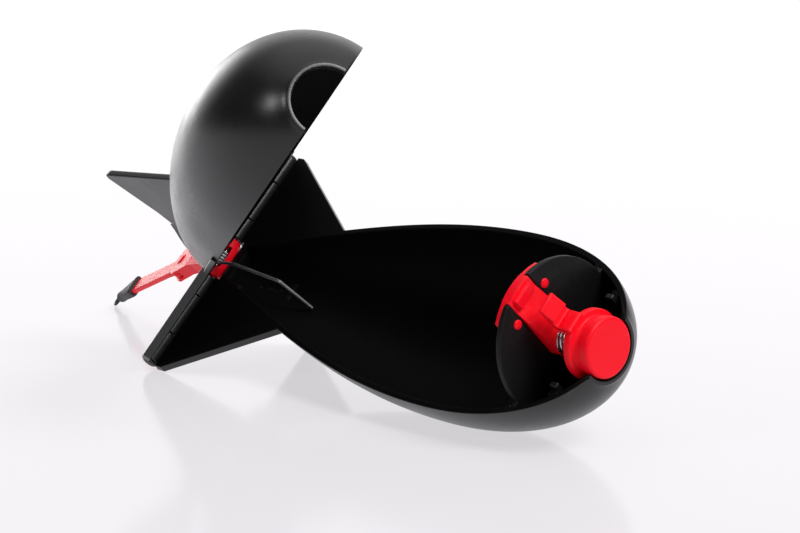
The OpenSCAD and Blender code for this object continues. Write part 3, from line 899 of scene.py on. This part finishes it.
def spring_washer():
    lo, hi = span("spring_washer")
    hole = guide_r + 0.1
    section = rounded([(lo.x, hole), (hi.x, hole), (hi.x, hi.y), (lo.x, hi.y)], 0.12, 3)
    finish_piece(solid("spring_seat_washer", ring(section, 72)), "spring_washer", device,
                 "lower_body", STEEL)


def nose_spring():
    """Compression spring with a closed turn at each end."""
    lo, hi = span("nose_spring")
    wire = hi.y - spring_r
    x0, x1 = lo.x + wire, hi.x - wire
    turns, closed, closed_rise, steps = 5.0, 0.9, 0.18, 36
    path = []
    for i in range(int(turns * steps) + 1):
        t = i / steps
        live = min(max((t - closed) / (turns - 2 * closed), 0.0), 1.0)
        ends = (min(t, closed) + max(t - (turns - closed), 0.0)) / (2 * closed)
        x = x0 + (x1 - x0) * ((1 - closed_rise) * live + closed_rise * ends)
        a = 2 * math.pi * t
        path.append((x, spring_r * math.cos(a), spring_r * math.sin(a)))
    obj = solid("nose_spring_coil", tube(path, wire, 12))
    finish_piece(obj, "nose_spring", device, "lower_body", SPRING, WIRE_SHARP_DEG)
    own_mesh(obj)


# ---------------------------------------------------------------- hinge and opening spring

def hinge_pin():
    end = knuckle_ys[3] + 0.35
    profile = [(-end, 1.0), (-end + 0.2, pin_r), (end - 0.2, pin_r), (end, 1.0)]
    finish_piece(solid("hinge_pin_rod", lathe(profile, 40, "y")), "hinge_pin", device, "lower_body",
                 STEEL)


def pin_caps():
    """A push-on cap on each end of the pin."""
    y = knuckle_ys[3] + 0.15
    cap = lathe([(y, 2.3), (y + 0.12, 2.4), (y + 0.3, 2.4), (y + 0.55, 2.2), (y + 0.75, 1.8),
                 (y + 0.88, 1.2), (y + 0.9, 0.6)], 40, "y")
    finish_piece(solid("hinge_pin_end_caps", joined(*both(cap))), "pin_caps", device, "lower_body",
                 DARK_METAL)


coil_r, wire_r = 2.5, 0.54
leg_y = 2.9
leg_bend, leg_bend_r = (12.7, 3.7), 1.3
lower_leg = [(31.0, -0.6), (35.6, -13.3)]
upper_leg = [(24.0, 9.6)]
leg_start = math.atan2(leg_bend[1], leg_bend[0]) + math.acos(coil_r / math.hypot(*leg_bend))


def leg_path(y, route):
    """Off the top of the coil to a bend, and on to the shell's inner wall."""
    start = (coil_r * math.cos(leg_start), coil_r * math.sin(leg_start))
    return bent([(x, y, z) for x, z in [start, leg_bend] + route], leg_bend_r)


def opening_spring():
    """Coil and lower leg are one wire; the upper leg rides with the upper shell."""
    half = span("opening_spring_coil")[1].y - wire_r
    turns, steps = 3.5, 32
    path = []
    for i in range(int(turns * steps) + 1):
        share = i / (turns * steps)
        t = leg_start - 2 * math.pi * turns * (1 - share)
        path.append((coil_r * math.cos(t), half - 2 * half * share, coil_r * math.sin(t)))
    for node, route, place, body in (
            ("opening_spring_coil", path, device, "lower_body"),
            ("opening_spring_lower_leg", leg_path(-leg_y, lower_leg), device, "lower_body"),
            ("opening_spring_upper_leg", leg_path(leg_y, upper_leg), opened, "upper_body")):
        finish_piece(solid(node + "_wire", tube(route, wire_r)), node, place, body, DARK_WIRE,
                     WIRE_SHARP_DEG)


# ---------------------------------------------------------------- tail hub and arm

pivot = hub.inverted() @ pivot_at / MM
fork_r, fork_hh, fork_gap_hh = 6.2, 2.1, 1.0


def tail_hub():
    """Spool on the hinge pin, with a waisted neck to the fork that takes the arm's head."""
    hw, end_r, mid_r, slot = 6.9, 2.85, 4.7, 3.75
    px, lo, hi = pivot.x, pivot.z - fork_hh, pivot.z + fork_hh
    profile = [(-hw, end_r - 0.3), (-hw + 0.1, end_r - 0.08)]
    profile += [(hw * s, end_r + (mid_r - end_r) * math.cos(math.pi / 2 * s))
                for s in np.linspace(-0.95, 0.95, 25)]
    profile += [(hw - 0.1, end_r - 0.08), (hw, end_r - 0.3)]
    obj = solid("tail_hub_moulding", lathe(profile, 64, "y"))
    body = rounded([(-2, -2.4), (px + 9.5, lo), (px, lo), (px, hi), (px + 9.5, hi), (0, 2.4)],
                   [0, 3, 0, 0, 3, 0])
    waist = rounded([(-1.5, -3.6), (-1.5, 3.6), (-15, 3.7), (px + 3, 5.4), (px + 3, -5.4),
                     (-15, -3.7)], [0, 0, 6, 0, 0, 6], 6)
    neck = kept_within(plate(body, -6, 6, 0.3, "xz"), plate(waist[::-1], -8, 10, 0))
    edge = edge_steps(0.45)
    disc = [(lo + t, fork_r - d) for d, t in edge]
    disc += [(hi - t, fork_r - d) for d, t in reversed(edge)]
    union(obj, neck, moved(lathe(disc, 64, "z"), x=px))
    window = [(0, 0)] + arc((0, 0), 9, -4, 134, 12)
    gap = (pivot.z - fork_gap_hh, pivot.z + fork_gap_hh)
    cut(obj, cylinder(-FAR, FAR, pin_r + 0.06, 40), cylinder(-slot, slot, coil_r + wire_r + 0.4),
        plate(window, -slot, slot, 0, "xz"), moved(cylinder(*gap, fork_r + 0.4, 64, "z"), x=px),
        block((-60, px), (-FAR, FAR), gap), moved(cylinder(-10, FAR, 1.42, 32, "z"), x=px))
    finish_piece(obj, "tail_hub", hub, "hub", RED)


def arm_pivot_pin():
    """A rivet with a domed head on both sides of the fork, as tall as its CAD node."""
    head = [(fork_hh, 1.4), (fork_hh, 2.05), (2.2, 2.1), (2.5, 2.0), (2.75, 1.5), (2.85, 0.7)]
    lo, hi = span("arm_pivot_pin", hub)
    reach = (hi.z - lo.z) / 2 / head[-1][0]
    profile = [(pivot.z + u * (reach if abs(u) > fork_hh else 1), r)
               for u, r in [(-u, r) for u, r in reversed(head)] + head]
    finish_piece(solid("arm_pivot_rivet", moved(lathe(profile, 40, "z"), x=pivot.x)),
                 "arm_pivot_pin", hub, "hub", RED)


def tail_arm():
    """Strap with a round head that turns in the fork."""
    lo, hi = span("tail_arm", arm)
    half, head = 2.8, hi.y
    neck = math.degrees(math.asin(half / head)) + 8
    outline = arc((0, 0), head, neck - 180, 180 - neck, 48)
    outline += rounded([(-head - 3.2, half + 0.25), (-11, half), (lo.x, half), (lo.x, -half),
                        (-11, -half), (-head - 3.2, -half - 0.25)], [2, 4, 0.5, 0.5, 4, 2], 6)
    obj = solid("tail_arm_strap", plate(outline, lo.z, hi.z, 0.32))
    cut(obj, cylinder(-5, 5, 1.46, 32, "z"))
    finish_piece(obj, "tail_arm", arm, "arm", RED)


def arm_boot():
    """Soft boot pulled over the strap's end, necked down to the swivel."""
    lo, hi = span("arm_boot", boot)
    sides = 48
    # share of the length from the wide end, half width, half height, squareness
    stations = [(0.0, 3.1, 1.45, 6), (0.012, 3.35, 1.62, 6), (0.03, 3.5, 1.75, 6),
                (0.12, 3.5, 1.75, 6), (0.16, 3.38, 1.7, 5), (0.26, 3.3, 1.68, 5),
                (0.42, 2.95, 1.72, 4), (0.58, 2.5, 1.8, 3), (0.72, 2.1, 1.85, 2.4),
                (0.80, 1.95, 1.88, 2), (0.84, 1.9, 1.9, 2), (0.97, 1.88, 1.88, 2),
                (0.992, 1.8, 1.8, 2), (1.0, 1.62, 1.62, 2)]
    rings = []
    for share, wide, high, power in stations:
        x = hi.x - share * (hi.x - lo.x)
        row = []
        for i in range(sides):
            t = 2 * math.pi * i / sides
            c, s = math.cos(t), math.sin(t)
            row.append((x, wide * math.copysign(abs(c) ** (2 / power), c),
                        high * math.copysign(abs(s) ** (2 / power), s)))
        rings.append(row)
    finish_piece(solid("arm_boot_rubber", loft(rings)), "arm_boot", boot, "arm", RUBBER)


def swivel_barrel():
    lo, hi = span("swivel_barrel", boot)
    profile = [(lo.x, 0.78), (lo.x, 1.05), (lo.x + 0.12, 1.22), (lo.x + 0.3, 1.29),
               (lo.x + 2.0, 1.29), (hi.x, 1.29)]
    finish_piece(solid("swivel_barrel_sleeve", lathe(profile, 40)), "swivel_barrel", boot, "arm",
                 STEEL)


def line_eye():
    """Ring that the line is tied to, on a shank that turns in the swivel."""
    lo, hi = span("line_eye", boot)
    out_r, in_r = (hi.y - lo.y) / 2, 1.6
    thick = (out_r - in_r) / 2
    centre = lo.x + out_r
    turns = [2 * math.pi * i / 20 for i in range(20)]
    section = [(0.55 * math.sin(t), (out_r + in_r) / 2 + thick * math.cos(t)) for t in turns]
    obj = solid("line_eye_ring", moved(ring(section, 64, "z"), x=centre))
    shank = [(centre + in_r + 0.25, 0.4), (centre + in_r + 0.4, 0.66), (hi.x - 0.2, 0.66),
             (hi.x, 0.5)]
    union(obj, lathe(shank, 32))
    finish_piece(obj, "line_eye", boot, "eye", DARK_METAL)


for build in (lower_shell, upper_shell, bulkhead, latch_cradle, cradle_rivets, nose_button,
              trigger_stem, stem_clip, spring_washer, nose_spring, hinge_pin, pin_caps,
              opening_spring, tail_hub, arm_pivot_pin, tail_arm, arm_boot, swivel_barrel, line_eye):
    build()


# ---------------------------------------------------------------- studio

def floor():
    """A wide pale floor with a slight glow, so that it stays even from all sides."""
    reach = 9.0
    mesh = bpy.data.meshes.new("studio_floor")
    mesh.from_pydata([(-reach, -reach, 0), (reach, -reach, 0), (reach, reach, 0),
                      (-reach, reach, 0)], [], [(0, 1, 2, 3)])
    obj = bpy.data.objects.new("studio_floor", mesh)
    bpy.context.scene.collection.objects.link(obj)
    n = Nodes("pale_acrylic")
    gloss = n.ramp(n.noise(9.0, 2.0), 0.3, 0.7, 0.10, 0.16)
    n.set(colour=colour(0.2, 0.196, 0.202), rough=gloss, specular=0.05)
    n.shader.inputs["Emission Color"].default_value = colour(0.985, 0.965, 1.0)
    n.shader.inputs["Emission Strength"].default_value = 0.62
    mesh.materials.append(n.material)


def softbox(name, at, aim, side, power):
    """A square softbox in metres and watts, pointed at aim."""
    light = bpy.data.lights.new(name, "AREA")
    light.shape = "RECTANGLE"
    light.size = light.size_y = side
    light.energy = power
    obj = bpy.data.objects.new(name, light)
    obj.location = at
    obj.rotation_mode = "QUATERNION"
    obj.rotation_quaternion = (Vector(aim) - Vector(at)).to_track_quat("-Z", "Y")
    bpy.context.scene.collection.objects.link(obj)


def studio_world():
    """Surround that is bright overhead and on the object's far left, and dim elsewhere."""
    world = bpy.data.worlds.new("studio")
    world.use_nodes = True
    tree = world.node_tree
    sky = tree.nodes["Background"]
    place = tree.nodes.new("ShaderNodeTexCoord").outputs["Generated"]

    def along(way, lo, hi, to_lo, to_hi):
        dot = tree.nodes.new("ShaderNodeVectorMath")
        dot.operation = "DOT_PRODUCT"
        tree.links.new(place, dot.inputs[0])
        dot.inputs[1].default_value = way
        return smooth_ramp(tree, dot.outputs["Value"], lo, hi, to_lo, to_hi)

    brighter = tree.nodes.new("ShaderNodeMath")
    brighter.operation = "MAXIMUM"
    tree.links.new(along((-0.75, 0.66, 0.0), 0.62, 0.94, 0.05, 1.0), brighter.inputs[0])
    tree.links.new(along((0.0, 0.25, 0.97), 0.45, 0.95, 0.05, 0.9), brighter.inputs[1])
    tree.links.new(brighter.outputs[0], sky.inputs["Strength"])
    sky.inputs["Color"].default_value = colour(1.0, 0.985, 1.0)
    bpy.context.scene.world = world


def studio_camera():
    """The camera stands beyond the nose, to its right and above, in the device frame."""
    data = bpy.data.cameras.new("camera")
    data.lens, data.sensor_width = 117.15, 36.0
    data.clip_start, data.clip_end = 0.05, 50.0
    stand = Vector((635.718, -230.546, 453.918)) * MM
    forward = Vector((-0.73653, 0.31732, -0.59735)).normalized()
    right = Vector((0.66097, 0.52518, -0.53600))
    right = (right - right.dot(forward) * forward).normalized()
    obj = bpy.data.objects.new("camera", data)
    obj.matrix_world = device @ basis(right, right.cross(forward), -forward, stand)
    bpy.context.scene.collection.objects.link(obj)
    bpy.context.scene.camera = obj


floor()
studio_world()
studio_camera()
softbox("key_box", (1.2, 0.1, 1.3), (0.05, 0, 0.04), 0.7, 24)
softbox("side_box", (-0.13, -1.36, 0.85), (0, 0, 0.08), 0.34, 3.2)
softbox("left_box", (-1.52, 0.49, 0.27), (0, 0, 0.06), 0.5, 3.0)
bpy.context.scene.view_settings.view_transform = "Standard"
